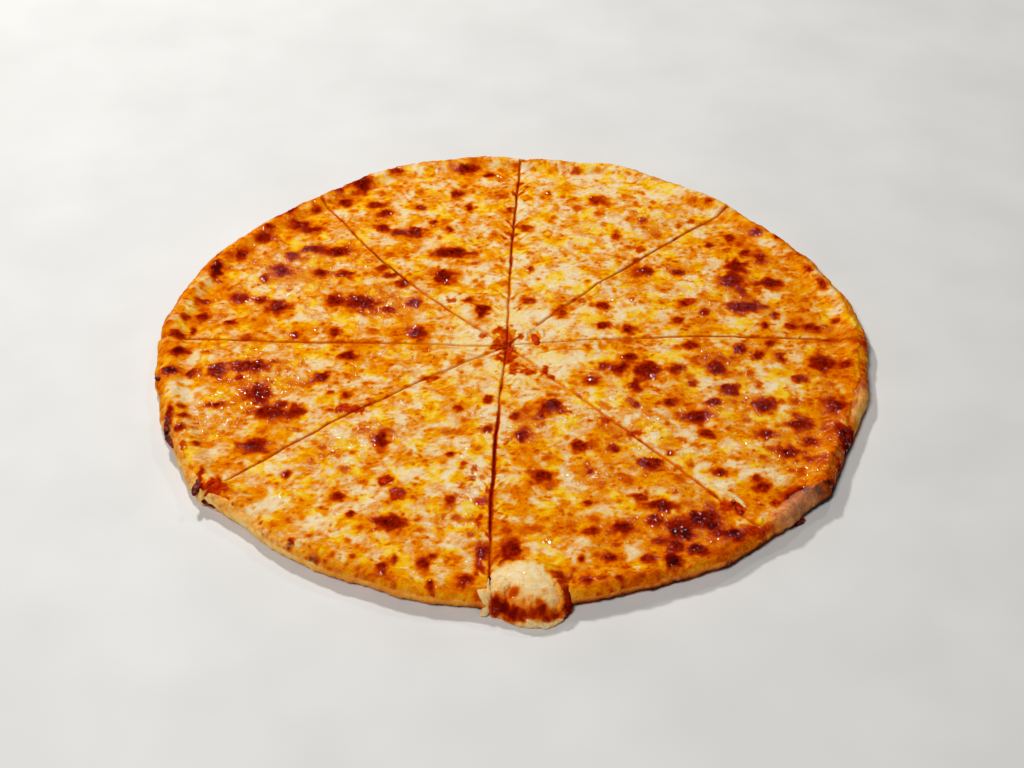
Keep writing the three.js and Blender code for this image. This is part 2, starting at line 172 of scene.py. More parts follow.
# Marks on the lobe over the edge: column, row, half width in millimetres and browning. The dark marks down
# its right edge are partly painted shade.
LOBE_MARKS_AND_SHADE = [(514, 592, 2.7, 0.72), (497, 603, 3.6, 1.1), (505, 609, 3.2, 1.12), (494, 612, 2.6, 1.0),
              (560, 582, 2.2, 0.8), (567, 581, 3.0, 0.95), (568, 590, 3.0, 1.0), (568, 600, 3.2, 1.05),
              (567, 610, 3.4, 1.1), (540, 601, 1.8, 0.70), (530, 606, 1.6, 0.5), (541, 611, 2.6, 1.05),
              (522, 603, 1.5, 0.5), (524, 615, 2.4, 0.95), (513, 615, 2.8, 1.1), (533, 614, 2.2, 0.9),
              (548, 618, 2.0, 1.0), (556, 615, 2.0, 0.95), (545, 590, 1.2, 0.4), (530, 597, 1.3, 0.42)]
LOBE_TOP = (517, 581, 76, 52)  # the part that stays pale: column, row, width and height
LOBE_CREAM, LOBE_OIL = 0.7, 0.6
# Where oil stands on the cheese and glints.
OIL_POOLS = [(696, 530, 90, 50), (655, 440, 70, 60), (740, 385, 90, 60), (590, 475, 50, 24),
             (475, 500, 18, 130), (585, 408, 60, 30), (455, 520, 40, 14), (260, 380, 80, 50),
             (235, 405, 40, 20), (800, 440, 60, 60), (845, 450, 20, 70), (530, 430, 50, 30),
             (610, 590, 70, 14), (485, 590, 16, 30), (290, 270, 60, 40), (340, 440, 60, 40),
             (650, 225, 60, 20), (720, 300, 60, 40), (210, 420, 50, 50), (395, 300, 60, 30)]
# Folds and torn lines in the cheese: columns and rows of their bends, and half width in millimetres.
FOLDS = [([(208, 341), (220, 347), (235, 352)], 0.7), ([(210, 336), (203, 352), (197, 366)], 0.5),
         ([(726, 498), (735, 506), (742, 514)], 0.9), ([(741, 533), (757, 531), (772, 529)], 1.2),
         ([(236, 480), (222, 489), (205, 498)], 0.8), ([(540, 352), (560, 348), (590, 350)], 0.5),
         ([(392, 184), (402, 192), (414, 206)], 0.6)]
# How brown the pattern of the curds comes out, and how brown folds, small spots, blisters and char are.
CURD_TONES = [(-1.0, 0.05), (-0.45, 0.10), (-0.15, 0.16), (0.05, 0.28), (0.4, 0.40), (1.0, 0.52)]
FOLD_BROWN, SPOT_BROWN, BLISTER_BROWN, BLACK = 0.62, 0.86, 1.00, 1.2
# Small browned spots strewn over the cheese: how many, least and largest half width in millimetres, browning,
# how much the small ones outnumber the large, and seed.
STREWN_SPOTS = [(260, 4.0, 8, 0.20, 1.0, 101), (1100, 1.2, 3.0, 0.66, 1.6, 102),
                (4500, 0.45, 1.1, 0.55, 1.3, 103)]


# ---------------------------------------------------------------- the plan and its noise
def smooth(value, low, high):
    """0 below low, 1 above high, and a soft step between."""
    part = np.clip((value - low) / (high - low), 0, 1)
    return part * part * (3 - 2 * part)


def fade(value, low, high):
    """1 below low, 0 above high, and a soft step between."""
    return smooth(-value, -high, -low)


def noise(x, y, size, seed):
    """Gradient noise from about -1 to 1, with lumps of the given size."""
    turns = np.random.default_rng(seed).uniform(0, 2 * np.pi, (NOISE_CELLS, NOISE_CELLS))
    across, along = x / size, y / size
    i, j = np.floor(across).astype(int), np.floor(along).astype(int)
    a, b = across - i, along - j

    def corner(di, dj):
        turn = turns[(i + di) % NOISE_CELLS, (j + dj) % NOISE_CELLS]
        return np.cos(turn) * (a - di) + np.sin(turn) * (b - dj)

    ease_a, ease_b = (t * t * t * (t * (t * 6 - 15) + 10) for t in (a, b))
    near = corner(0, 0) * (1 - ease_a) + corner(1, 0) * ease_a
    far = corner(0, 1) * (1 - ease_a) + corner(1, 1) * ease_a
    return 1.5 * (near * (1 - ease_b) + far * ease_b)


def cloud(x, y, size, seed, octaves=3, rough=0.5):
    """Several layers of noise, each half as large as the last."""
    total, share = 0, 0
    for k in range(octaves):
        total = total + rough ** k * noise(x, y, size / 2 ** k, seed + k)
        share += rough ** (2 * k)
    return total / share ** 0.5


AXIS = np.arange(-SPAN, SPAN + GRAIN, GRAIN)
X, Y = np.meshgrid(AXIS, AXIS, indexing="ij")


def between(grid, i, j):
    """The value of a grid at places between its cells."""
    a, b = i.astype(int), j.astype(int)
    u, v = i - a, j - b
    near = grid[a, b] * (1 - u) + grid[a + 1, b] * u
    far = grid[a, b + 1] * (1 - u) + grid[a + 1, b + 1] * u
    return near * (1 - v) + far * v


def read(field, x, y):
    """The value of a plan field at any places."""
    return between(field, *((np.clip(v, -SPAN, SPAN - 2 * GRAIN) + SPAN) / GRAIN for v in (x, y)))


def from_hub(x, y):
    """Distance from the hub, and bearing in degrees."""
    return np.hypot(x - HUB[0], y - HUB[1]), np.degrees(np.arctan2(y - HUB[1], x - HUB[0])) % 360


def through(stops, value):
    """The number that belongs to a value, read between stops of both."""
    return np.interp(value, *np.array(stops).T)


def by_degree(values, bearing):
    """One value for each degree, read between the degrees."""
    turns = np.arange(-1, 361)
    return np.interp(bearing, turns + 0.5, values[turns % 360])


def past_cut(number, distance, bearing):
    """How far past the cut where a slice starts a place lies, in millimetres and anticlockwise."""
    start, bow = CUTS[(number - 1) % len(CUTS)]
    here = start + np.degrees(bow * np.sin(np.pi * distance / BOW_REACH) / np.maximum(distance, 1))
    return np.radians((bearing - here + 180) % 360 - 180) * distance


def ray(column, row):
    """The direction in which the camera sees a pixel."""
    return FORWARD + RIGHT * (column - FRAME_WIDTH / 2) / PIXELS + UP * (FRAME_HEIGHT / 2 - row) / PIXELS


def at_height(column, row, height):
    """The place at a height above the table that the camera sees at a pixel, in millimetres."""
    way = ray(column, row)
    return EYE + way * (height - EYE[2]) / way[2]


def landing(column, row):
    """Where the ray through a pixel meets the pizza, in millimetres."""
    hit = SKIN.ray_cast(Vector(EYE * MM), Vector(ray(column, row)).normalized())[0]
    return at_height(column, row, CHEESE_TOP) if hit is None else np.array(hit) / MM


def skin_tree():
    """All the solids as one tree for rays."""
    corners, faces = [], []
    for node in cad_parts.values():
        first = len(corners)
        corners += [tuple(v.co) for v in node.data.vertices]
        faces += [[first + k for k in p.vertices] for p in node.data.polygons]
    return BVHTree.FromPolygons(corners, faces)


SKIN = skin_tree()


def oval(column, row, width, height):
    """A patch in the frame as a level oval on the pizza: its middle and half sizes."""
    x, y, z = landing(column, row)
    scale = np.dot(np.array([x, y, z]) - EYE, FORWARD) / PIXELS
    slope = (EYE[2] - z) / np.linalg.norm(np.array([x, y, z]) - EYE)
    return x, y, width / 2 * scale, height / 2 * scale / slope


DISTANCE, BEARING = from_hub(X, Y)
CUT_GAP = np.min([np.abs(past_cut(n, DISTANCE, BEARING)) for n in SLICES], axis=0)
BEND_X = 1.6 * cloud(X, Y, 5, 1) + 0.5 * noise(X, Y, 1.6, 5)
BEND_Y = 1.6 * cloud(X, Y, 5, 11) + 0.5 * noise(X, Y, 1.6, 15)
DRIFT_X, DRIFT_Y = X + 2.2 * cloud(X, Y, 12, 21, 2), Y + 2.2 * cloud(X, Y, 12, 31, 2)


def window(x, y, reach):
    """The part of the plan within reach of a place."""
    rows = slice(*np.searchsorted(AXIS, [x - reach, x + reach]))
    columns = slice(*np.searchsorted(AXIS, [y - reach, y + reach]))
    return rows, columns


def soft_spot(far, edge=4.5):
    """A spot's strength at a distance in half widths: 1 inside, one half at 1, and none far out."""
    return 1 / (1 + far ** edge)


def away(part, x, y, half_x, half_y):
    """Distance from a ragged oval's middle in part of the plan, 1 at its border."""
    bend = min(1, max(half_x, half_y) / 3)
    across = (X[part] - x + bend * BEND_X[part]) / half_x
    along = (Y[part] - y + bend * BEND_Y[part]) / half_y
    return np.hypot(across, along)


class Browning:
    """How far the oven browned each place, how its blisters stand up, and where the sauce shows."""

    def __init__(self):
        self.blistered, self.charred, self.dome, self.red, self.oil = (np.zeros_like(X) for _ in range(5))

    def blister(self, x, y, half_x, half_y, dark, charred=False):
        part = window(x, y, max(half_x, half_y) * 3.2 + 3)
        far = away(part, x, y, half_x, half_y)
        height = min(0.6, 0.12 * min(half_x, half_y))
        layer = self.charred if charred else self.blistered
        big = smooth(math.sqrt(half_x * half_y), 2, 5)
        ragged = 1 + 0.28 * FINE[part] + 0.14 * SPECKS[part] + 0.35 * big * CLUMPS[part]
        strength = dark * soft_spot(far * ragged / 1.08, 5.2)
        layer[part] = 1 - (1 - layer[part]) * (1 - strength)
        self.dome[part] = np.maximum(self.dome[part], height * fade(far, 0.1, 1.2))

    def sauce_spot(self, x, y, half_x, half_y):
        part = window(x, y, max(half_x, half_y) * 1.5 + 3)
        far = away(part, x, y, half_x, half_y)
        ragged = 0.5 * FINE[part] + 0.2 * MIDDLE[part]
        self.red[part] = np.maximum(self.red[part], 0.9 * fade(far - ragged, 0.5, 1.5))

    def oil_pool(self, x, y, half_x, half_y):
        part = window(x, y, max(half_x, half_y) * 2)
        self.oil[part] = np.maximum(self.oil[part], soft_spot(away(part, x, y, half_x, half_y), 3))


def fold_field():
    """Thin folds, 1 along their middle."""
    field = np.zeros_like(X)
    for bends, half in FOLDS:
        stops = [landing(*bend)[:2] for bend in bends]
        for start, end in zip(stops, stops[1:]):
            middle, reach = (start + end) / 2, np.linalg.norm(end - start) / 2 + 4 * half + 1
            part = window(*middle, reach)
            run = end - start
            share = ((X[part] - start[0]) * run[0] + (Y[part] - start[1]) * run[1]) / np.dot(run, run)
            share = share.clip(0, 1)
            off_x = X[part] - start[0] - share * run[0] + 0.4 * BEND_X[part]
            off_y = Y[part] - start[1] - share * run[1] + 0.4 * BEND_Y[part]
            field[part] = np.maximum(field[part], np.exp(-(np.hypot(off_x, off_y) / half) ** 2))
    return field


# The pattern of the melted curds: large patches, smaller ones, strings and specks.
PATCHES = cloud(DRIFT_X, DRIFT_Y, 17, 41, 2, 0.5)
MIDDLE = cloud(DRIFT_X * 0.9, DRIFT_Y, 6.2, 51, 3, 0.55)
FINE = cloud(DRIFT_X * 0.9, DRIFT_Y, 2.4, 61, 2, 0.6)
SPECKS = noise(X, Y, 1.1, 66)
CLUMPS = cloud(X, Y, 4.5, 67, 2)
# How much browner or paler than the whole each slice came out, and how much more near the hub and the rim.
SLICE_TONE = [0.06, 0.02, 0.04, 0.08, 0.06, 0.02, 0.09, 0.04]
INNER_TONE = [-0.13, -0.07, -0.01, 0.0, 0.05, 0.01, 0.0, -0.03]
OUTER_TONE = [0.07, -0.04, 0.02, 0.08, 0.0, 0.05, 0.13, 0.19]


def slice_tone():
    """The tone of each slice over the plan, softly joined at the cuts, and pale round the hub."""
    tone = -0.11 * fade(DISTANCE, 20, 55)
    near, far = fade(DISTANCE, 55, 85), smooth(DISTANCE, 138, 158)
    for number, (here, inner, outer) in enumerate(zip(SLICE_TONE, INNER_TONE, OUTER_TONE), start=1):
        past, short = past_cut(number, DISTANCE, BEARING), past_cut(number + 1, DISTANCE, BEARING)
        share = smooth(past, -1, 1) * fade(short, -1, 1) * (np.abs(past) < 1.6 * DISTANCE + 1)
        tone += (here + inner * near + outer * far) * share
    return tone


TONE = slice_tone()


def scattered(count, low, high, level, power, seed):
    """Soft round browned spots of random sizes, more of them where the cheese is warm."""
    draw = np.random.default_rng(seed)
    far = SPOT_REACH * np.sqrt(draw.uniform(0, 1, count))
    turn = draw.uniform(0, 2 * np.pi, count)
    xs, ys = HUB[0] + far * np.cos(turn), HUB[1] + far * np.sin(turn)
    sizes = low * (high / low) ** draw.uniform(0, 1, count) ** power
    levels = level * draw.uniform(0.5, 1.1, count)
    chance = draw.uniform(0, 1, count)
    warm = chance < 0.5 + 0.5 * np.clip(read(PATCHES + 3 * TONE, xs, ys), -1, 1)
    field = np.zeros_like(X)
    for x, y, size, strength in zip(xs[warm], ys[warm], sizes[warm], levels[warm]):
        part = window(x, y, 2.4 * size + 3)
        spot = strength * soft_spot(away(part, x, y, size, size))
        field[part] = np.maximum(field[part], spot)
    return field


def browned_by_the_oven():
    """All the marks on the plan."""
    marks = Browning()
    for number, patches in BLISTERS.items():
        mild = MILD if number == MILD_SLICE else 1
        for patch in patches:
            x, y, half_x, half_y = oval(*patch)
            size = math.sqrt(half_x * half_y)
            marks.blister(x, y, half_x, half_y, mild * min(1.08, 0.80 + 0.06 * size))
    for patch in CHARRED:
        marks.blister(*oval(*patch), dark=1, charred=True)
    for patch in RED_SPOTS:
        marks.sauce_spot(*oval(*patch))
    for patch in OIL_POOLS:
        marks.oil_pool(*oval(*patch))
    return marks


MARKS = browned_by_the_oven()


def drawn_strings():
    """Short strings that the knife drew out aslant beside the cuts, from -1, pale, to 1, red."""
    strings = np.zeros_like(X)
    for number in SLICES:
        aside = np.abs(past_cut(number, DISTANCE, BEARING))
        strong = 1.0 if number in DRAWN_CUTS else 0.5
        across = Y - 1.4 * aside + 0.9 * BEND_Y
        pull = strong * fade(aside, 4, 11) * smooth(DISTANCE, 10, 30)
        pull = pull * smooth(cloud(X, Y, 16, 351, 2), -0.4, 0.3)
        strings += pull * np.clip(2.4 * noise(across, aside / 3 + 20 * number, 2.7, 352), -1, 1)
    return np.clip(strings, -1, 1)


STRINGS = drawn_strings()
FOLD = fold_field()


def heat_field():
    """Browning from 0, pale curd, over 0.4, golden, and 0.8, red-brown, to 1.2, black."""
    curds = 0.65 * PATCHES + 0.70 * MIDDLE + 0.22 * FINE + 2.5 * TONE
    heat = through(CURD_TONES, curds)
    heat += 0.07 * FINE + 0.09 * SPECKS + 0.14 * STRINGS
    strokes = cloud(DRIFT_X * 0.6, DRIFT_Y, 1.9, 371, 2, 0.5)
    crowd = cloud(X, Y, 12, 375, 2)
    heat += 0.30 * smooth(strokes + 0.3 * crowd, 0.45, 0.8) - 0.10 * smooth(0.3 * crowd - strokes, 0.3, 0.7)
    for kind in STREWN_SPOTS:
        heat += (SPOT_BROWN - heat) * scattered(*kind)
    heat += (BLISTER_BROWN + 0.22 * FINE + 0.16 * SPECKS - heat) * MARKS.blistered
    heat += (FOLD_BROWN - heat) * 0.8 * FOLD
    return np.maximum(heat + (BLACK - heat) * MARKS.charred, 0)


HEAT = heat_field()


def cream_field():
    """Where the curd stayed dry and creamy: half so round the hub, and nowhere that it is browned."""
    creamy = cloud(DRIFT_X, DRIFT_Y, 11, 91, 3) + 0.45 * cloud(X, Y, 2.6, 95, 2) - 0.5 * STRINGS
    at_hub = 0.5 * fade(DISTANCE, 25, 60)
    return np.maximum(smooth(creamy, -0.45, 0.25), at_hub) * fade(HEAT, 0.28, 0.54)


CREAM = cream_field()
OILED = 0.8 * cloud(DRIFT_X, DRIFT_Y, 9, 81, 3) + 0.3 * smooth(HEAT, 0.35, 0.6) + 0.9 * MARKS.oil
WET = smooth(OILED, 0.1, 0.8)
RED = np.maximum(MARKS.red, 0.75 * smooth(STRINGS, 0.45, 0.9) * smooth(PATCHES, -0.5, 0.2))


def lift_field():
    """How far the cheese stands over its even top: blisters, pale curds, strings and grain."""
    curds = 0.30 * fade(HEAT, 0.10, 0.34) * (0.6 + 0.4 * MIDDLE)
    ripple = 0.12 * MIDDLE + 0.10 * FINE + 0.05 * SPECKS
    blistered = MARKS.dome + 0.15 * smooth(HEAT, 0.45, 0.75) * (0.5 + 0.5 * FINE)
    return curds + ripple + blistered + 0.10 * STRINGS - 0.5 * FOLD - 0.2


LIFT = lift_field()


# ---------------------------------------------------------------- finishes
def colour(red, green, blue):
    """A display colour, each part up to 255, as the linear one that shaders take."""
    parts = (part / 255 for part in (red, green, blue))
    return tuple(p / 12.92 if p <= 0.04045 else ((p + 0.055) / 1.055) ** 2.4 for p in parts) + (1.0,)


def set_stops(elements, stops):
    """A ramp's stops, each a place and a display colour."""
    while len(elements) < len(stops):
        elements.new(0.5)
    for element, (place, shade) in zip(elements, stops):
        element.position, element.color = place, colour(*shade)


class Value:
    """What comes out of a node. Where that is a number, Python's operators add Math nodes."""

    def __init__(self, finish, socket):
        self.finish, self.socket = finish, socket

    def maths(self, operation, first, second):
        return self.finish.node("ShaderNodeMath", {"operation": operation}, {0: first, 1: second})

    def __add__(self, other):
        return self.maths("ADD", self, other)

    def __sub__(self, other):
        return self.maths("SUBTRACT", self, other)

    def __rsub__(self, other):
        return self.maths("SUBTRACT", other, self)

    def __mul__(self, other):
        return self.maths("MULTIPLY", self, other)

    __radd__ = __add__
    __rmul__ = __mul__


class Finish:
    """A material under construction around one Principled shader."""

    def __init__(self, name, **constants):
        self.material = bpy.data.materials.new(name)
        self.material.use_nodes = True
        self.tree = self.material.node_tree
        self.shader = self.tree.nodes["Principled BSDF"]
        self.shaders = [self.shader]
        for socket, value in constants.items():
            self.shader.inputs[socket.replace("_", " ")].default_value = value
        self.place = self.node("ShaderNodeTexCoord", {}, {}, "Object")

    def node(self, kind, settings, inputs, output=0):
        """A node with its settings made and its sockets linked or set, as the value of one output."""
        made = self.tree.nodes.new(kind)
        for setting, value in settings.items():
            if setting == "stops":
                set_stops(made.color_ramp.elements, value)
            else:
                setattr(made, setting, value)
        for socket, value in inputs.items():
            if isinstance(value, Value):
                self.tree.links.new(value.socket, made.inputs[socket])
            else:
                made.inputs[socket].default_value = value
        return Value(self, made.outputs[output])

    def oiled(self, share, **constants):
        """Oil over a share of the surface: a second, glossy shader that takes the same feeds from here on."""
        oil = self.node("ShaderNodeBsdfPrincipled", {}, constants)
        under = Value(self, self.shader.outputs[0])
        both = self.node("ShaderNodeMixShader", {}, {0: share, 1: under, 2: oil})
        self.tree.links.new(both.socket, self.tree.nodes["Material Output"].inputs[0])
        self.shaders.append(oil.socket.node)

    def beads(self, share):
        """Beads of oil, more of them where its share is large. Gives the height that rounds them."""
        height = self.speckle(1.6, 0)
        self.oiled(self.step(height + share * 0.26, 0.82, 0.85), Roughness=0.13, IOR=1.6)
        return height

    def feed(self, socket, value, shaders=None):
        """Links a value to the shaders, or to some of them."""
        for shader in shaders or self.shaders:
            self.tree.links.new(value.socket, shader.inputs[socket])

    def painted(self, name):
        """A number that the piece carries at its vertices."""
        return self.node("ShaderNodeAttribute", {"attribute_name": name}, {}, "Fac")

    def speckle(self, size, detail=2.0, rough=0.5, distortion=0.0):
        """Noise from 0 to 1 with lumps of a size in millimetres."""
        inputs = {"Vector": self.place, "Scale": 1 / (size * MM), "Detail": detail, "Roughness": rough,
                  "Distortion": distortion}
        return self.node("ShaderNodeTexNoise", {}, inputs, "Fac")

    def uneven(self, amount, size, rough=0.5):
        """Noise about 0, at most half an amount either way, with lumps of a size in millimetres."""
        return (self.speckle(size, 3, rough) - 0.5) * amount

    def step(self, value, low, high, start=0.0, end=1.0):
        """A soft step from start to end as the value goes from low to high."""
        inputs = {"Value": value, "From Min": low, "From Max": high, "To Min": start, "To Max": end}
        return self.node("ShaderNodeMapRange", {"interpolation_type": "SMOOTHSTEP"}, inputs)

    def ramp(self, value, stops):
        """A colour for a number, through stops of place and display colour."""
        return self.node("ShaderNodeValToRGB", {"stops": stops}, {0: value})

    def blend(self, share, base, over):
        """One colour over another by a share of it."""
        inputs = {0: share, 6: base, 7: over}
        return self.node("ShaderNodeMix", {"data_type": "RGBA"}, inputs, 2)

    def bumps(self, height, depth, strength):
        """A normal from a height between 0 and 1, whose full height is a depth in millimetres."""
        inputs = {"Height": height, "Distance": depth * MM, "Strength": strength}
        return self.node("ShaderNodeBump", {}, inputs)

    def relief(self, beads, grain, depth, strength):
        """The beads' own relief on the oil, and a finer one on what lies under it."""
        self.feed("Normal", self.bumps(beads, BEAD_HEIGHT, 1.0), self.shaders[1:])
        self.feed("Normal", self.bumps(grain, depth, strength), self.shaders[:1])


# From pale curd over golden, orange and red-brown to black, along browning from 0 to 1.25: where the curd is
# dry and creamy, and where oil has made it yellow.
CREAMY = [(0.00, (237, 218, 180)), (0.12, (234, 202, 150)), (0.22, (231, 179, 113)), (0.31, (226, 150, 72)),
          (0.39, (218, 123, 36)), (0.47, (206, 96, 10)), (0.55, (190, 69, 0))]
OILY = [(0.00, (240, 207, 104)), (0.12, (239, 192, 52)), (0.22, (238, 171, 8)), (0.31, (233, 147, 0)),
        (0.39, (227, 123, 0)), (0.47, (213, 96, 0)), (0.55, (194, 70, 0))]
BURNT = [(0.63, (176, 50, 0)), (0.71, (154, 31, 0)), (0.80, (130, 19, 0)), (0.90, (98, 9, 0)),
         (1.00, (52, 6, 6))]
HOTTEST = 1.25
# Dough from pale over golden to dark, along its own browning.
BAKED = [(0.0, (250, 226, 170)), (0.2, (249, 206, 120)), (0.4, (243, 166, 62)), (0.6, (222, 122, 34)),
         (0.75, (174, 72, 18)), (0.88, (104, 32, 10)), (1.0, (34, 14, 12))]
# Mottled tones: the crumb at a cut, tomato that shows through the cheese and bare, a burnt bubble, the table.
CRUMB = [(0.3, (214, 178, 122)), (0.6, (240, 216, 168))]
TOMATO_THROUGH = [(0.35, (152, 20, 0)), (0.65, (212, 56, 6))]
TOMATO_BARE = [(0.3, (158, 24, 4)), (0.7, (214, 64, 16))]
CHAR = [(0.35, (44, 10, 12)), (0.5, (92, 24, 20)), (0.7, (168, 62, 40))]
TABLE = [(0.3, (214, 212, 208)), (0.7, (222, 220, 216))]


def melted(finish):
    """The colour of melted cheese from the browning, cream and tomato that a piece carries."""
    heat, cream, red = (finish.painted(name) for name in ("browning", "cream", "tomato"))
    heat = (heat + red * 0.34 + finish.uneven(0.34, 0.9, 0.65)) * (1 / HOTTEST)
    cream = finish.step(cream - red * 0.9 + finish.uneven(0.8, 1.6, 0.6), 0.1, 0.9)
    tone = finish.blend(cream, finish.ramp(heat, OILY + BURNT), finish.ramp(heat, CREAMY + BURNT))
    red = finish.step(red + finish.uneven(0.9, 1.5, 0.6), 0.2, 0.95) * 0.92
    return finish.blend(red, tone, finish.ramp(finish.speckle(1.8), TOMATO_THROUGH))


def cheese_finish():
    """Melted cheese: browned by its own field, with oil that gathers in the warm places."""
    finish = Finish("melted_cheese", Specular_IOR_Level=0, Roughness=0.9)
    beads = finish.beads(finish.painted("wet"))
    finish.feed("Base Color", melted(finish))
    finish.relief(beads, finish.speckle(1.3, 3, 0.6, 0.4), 0.40, 0.8)
    return finish.material


def crust_finish():
    """Baked dough: golden and blotched where bare, browned cheese where that covers it, and a pale crumb."""
    finish = Finish("baked_crust", Specular_IOR_Level=0, Roughness=0.9)
    beads = finish.beads(finish.painted("wet"))
    heat = finish.painted("baked") + finish.uneven(0.26, 1.4, 0.6) + finish.uneven(0.34, 7)
    crumb = finish.ramp(finish.speckle(1.8), CRUMB)
    cover = finish.step(finish.painted("cover") + finish.uneven(0.7, 3, 0.6), 0.3, 0.7)
    tone = finish.blend(cover, finish.ramp(heat, BAKED), melted(finish))
    finish.feed("Base Color", finish.blend(finish.painted("crumb"), tone, crumb))
    finish.relief(beads, finish.speckle(1.6, 4, 0.65), 0.9, 0.9)
    return finish.material


def sauce_finish():
    """Tomato sauce: wet, and mottled from dark to bright red."""
    finish = Finish("tomato_sauce", Specular_IOR_Level=0, Roughness=0.8)
    beads = finish.beads(0.5)
    finish.feed("Base Color", finish.ramp(finish.speckle(3, 3, 0.6), TOMATO_BARE))
    finish.relief(beads, finish.speckle(1.5, 3), 0.4, 0.8)
    return finish.material


def char_finish():
    """Bubbles burnt black, with red-brown left in places."""
    finish = Finish("charred_cheese", Specular_IOR_Level=0.1)
    finish.feed("Base Color", finish.ramp(finish.speckle(2.2, 3, 0.6), CHAR))
    finish.feed("Roughness", finish.step(finish.speckle(2), 0.3, 0.7, 0.3, 0.6))
    finish.feed("Normal", finish.bumps(finish.speckle(1.2, 3), 0.5, 0.9))
    return finish.material


def floor_finish():
    """A plain pale table."""
    finish = Finish("pale_table", Roughness=0.6)
    finish.feed("Base Color", finish.ramp(finish.speckle(60), TABLE))
    return finish.material


# ---------------------------------------------------------------- shaping
def only(piece):
    """Selects one piece alone."""
    bpy.ops.object.select_all(action="DESELECT")
    piece.select_set(True)
    bpy.context.view_layer.objects.active = piece


def copy_of(node, name):
    """A new piece with a node's mesh, its loose triangles merged."""
    piece = bpy.data.objects.new(name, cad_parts[node].data.copy())
    bpy.context.collection.objects.link(piece)
    only(piece)
    bpy.ops.object.mode_set(mode="EDIT")
    bpy.ops.mesh.select_all(action="SELECT")
    bpy.ops.mesh.remove_doubles(threshold=0.01 * MM)
    bpy.ops.object.mode_set(mode="OBJECT")
    return piece


def remeshed(piece, voxel, rounds):
    """The piece in even small faces, a little smoothed."""
    remesh = piece.modifiers.new("even", "REMESH")
    remesh.mode, remesh.voxel_size, remesh.use_smooth_shade = "VOXEL", voxel * MM, True
    soften = piece.modifiers.new("soften", "SMOOTH")
    soften.factor, soften.iterations = 0.5, rounds
    only(piece)
    for name in ("even", "soften"):
        bpy.ops.object.modifier_apply(modifier=name)
    return piece


def places(piece):
    """The vertices of a piece in millimetres, and their normals."""
    count = len(piece.data.vertices)
    spots, normals = np.empty(count * 3), np.empty(count * 3)
    piece.data.vertices.foreach_get("co", spots)
    piece.data.vertices.foreach_get("normal", normals)
    return spots.reshape(-1, 3) / MM, normals.reshape(-1, 3)


def put(piece, spots):
    """The vertices of a piece moved to places in millimetres."""
    piece.data.vertices.foreach_set("co", (spots * MM).ravel())
    piece.data.update()


def paint(piece, **fields):
    """Numbers at the vertices that the finish reads."""
    for name, field in fields.items():
        layer = piece.data.attributes.new(name, "FLOAT", "POINT")
        layer.data.foreach_set("value", np.asarray(field, dtype=np.float32))


def draw_in(spots, share):
    """Vertices drawn towards the hub by a share of their distance."""
    spots[:, :2] = np.array(HUB) + (spots[:, :2] - HUB) * (1 - share)[:, None]


def shut(cut, distance, z):
    """Half the gap left of a cut inside the pizza."""
    return SHUT


def groove_half_width(cut, distance, z):
    """Half the gap left of a cut near the top of the cheese, wide towards the front and narrow elsewhere."""
    wander = noise(distance, np.full_like(distance, cut * 10.0), 6, 140)
    front = smooth(distance, *GAPES_FROM) * (1 - smooth(distance, *GAPES_TO)) * (cut == FRONT_CUT)
    half = np.clip(0.22 + 0.18 * wander + 0.20 * front, SHUT, KERF / 2) * smooth(distance, -20, 50)
    half = np.maximum(half, SHUT)
    return SHUT + (half - SHUT) * smooth(z, CHEESE_TOP - 2.0, CHEESE_TOP - 0.4)


def close_cuts(number, spots, half_width):
    """Walls at the cuts drawn towards each other, so that only a thin groove is left."""
    distance, bearing = from_hub(spots[:, 0], spots[:, 1])
    turn = np.zeros_like(distance)
    nearest = np.full_like(distance, np.inf)
    for cut, sign in ((number, 1), (number % len(CUTS) + 1, -1)):
        gap = sign * past_cut(cut, distance, bearing)
        half = half_width(cut, distance, spots[:, 2])
        share = np.clip((gap - KERF / 2) / (WALL_REACH - KERF / 2), -0.2, 1)
        share = np.sign(share) * np.abs(share) ** 1.3
        moved = np.where(share < 1, half + share * (WALL_REACH - half), gap)
        sway = 0.5 * noise(distance, np.full_like(distance, cut * 10.0), 11, 160) * smooth(distance, 8, 25)
        sway = sway * fade(np.abs(gap), 1, 7)
        turn += (sign * (moved - gap) + sway) / np.maximum(distance, 1)
        nearest = np.minimum(nearest, np.abs(moved))
    bearing = np.radians(bearing) + turn
    spots[:, 0] = HUB[0] + distance * np.cos(bearing)
    spots[:, 1] = HUB[1] + distance * np.sin(bearing)
    return nearest


class Edge:
    """The crust's edge all round, read from its own vertices: how far it reaches, and its skin's height."""

    def __init__(self, crusts):
        spots = np.concatenate([places(piece)[0] for piece in crusts])
        normals = np.concatenate([places(piece)[1] for piece in crusts])
        distance, bearing = from_hub(spots[:, 0], spots[:, 1])
        bins = bearing.astype(int) % 360
        self.reach = np.zeros(360)
        np.maximum.at(self.reach, bins, distance)
        top = normals[:, 2] > 0.4
        self.half = int(SPAN / HEIGHT_CELL)
        i, j = ((spots[top, k] / HEIGHT_CELL).round().astype(int) + self.half for k in (0, 1))
        total, count = (np.zeros((2 * self.half + 1,) * 2) for _ in range(2))
        np.add.at(total, (i, j), spots[top, 2])
        np.add.at(count, (i, j), 1)
        for _ in range(4):  # bare cells take what lies round them
            bare = count == 0
            around = [np.roll(a, s, axis=k) for a in (total, count) for k in (0, 1) for s in (1, -1)]
            total[bare], count[bare] = sum(around[:4])[bare], sum(around[4:])[bare]
        self.height = total / np.maximum(count, 1)

    def depth(self, distance, bearing):
        """How far in from the edge a place lies."""
        return by_degree(self.reach, bearing) - distance

    def skin(self, x, y):
        """Height of the crust's skin at places."""
        cells = ((v / HEIGHT_CELL + self.half).clip(1, 2 * self.half - 1) for v in (x, y))
        return between(self.height, *cells)


